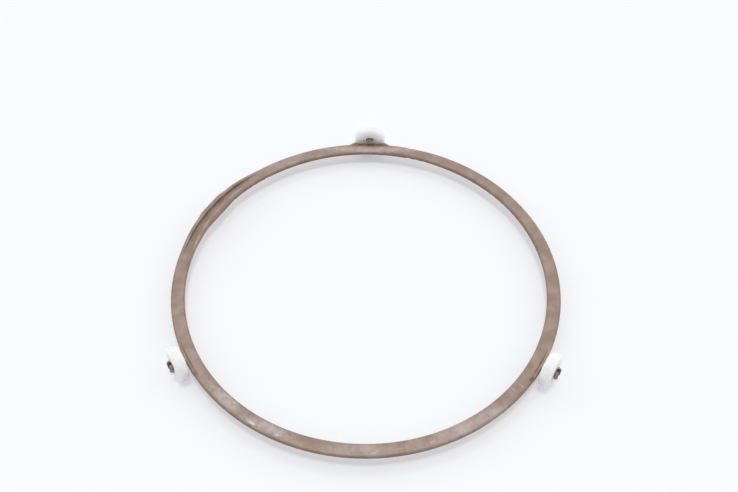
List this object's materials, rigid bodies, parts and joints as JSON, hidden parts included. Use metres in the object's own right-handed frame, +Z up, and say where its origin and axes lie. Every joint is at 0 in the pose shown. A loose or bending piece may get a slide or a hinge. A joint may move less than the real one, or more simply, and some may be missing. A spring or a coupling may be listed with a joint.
{
  "type": "microwave roller ring",
  "caption": "Flat moulded plastic ring with loose wheels on snap-ended stub axles around its edge, which carries a microwave oven's glass tray and lets it turn.",
  "frame": {"origin": "on the ring's axis, on the floor that the wheels stand on", "axes": "+Z up along the ring's axis, +Y along the back wheel's axle, +X to the right seen from the front"},
  "size_m": [0.174, 0.1816, 0.015],
  "materials": {
    "ring_plastic": "moulded, satin, lightly mottled and scuffed",
    "wheel_plastic": "moulded, smooth, soft sheen"
  },
  "bodies": {
    "ring": {"ring": "ring_plastic"},
    "back_wheel": {"back_wheel": "wheel_plastic"},
    "left_wheel": {"left_wheel": "wheel_plastic"},
    "right_wheel": {"right_wheel": "wheel_plastic"}
  },
  "joints": [
    {"name": "back_wheel_spin", "type": "hinge", "parent": "ring", "child": "back_wheel", "pos_m": [0, 0.0904, 0.0075], "axis": [0, 1, 0], "continuous": true},
    {"name": "left_wheel_spin", "type": "hinge", "parent": "ring", "child": "left_wheel", "pos_m": [-0.07829, -0.0452, 0.0075], "axis": [-0.866, -0.5, 0], "continuous": true},
    {"name": "right_wheel_spin", "type": "hinge", "parent": "ring", "child": "right_wheel", "pos_m": [0.07829, -0.0452, 0.0075], "axis": [0.866, -0.5, 0], "continuous": true}
  ]
}
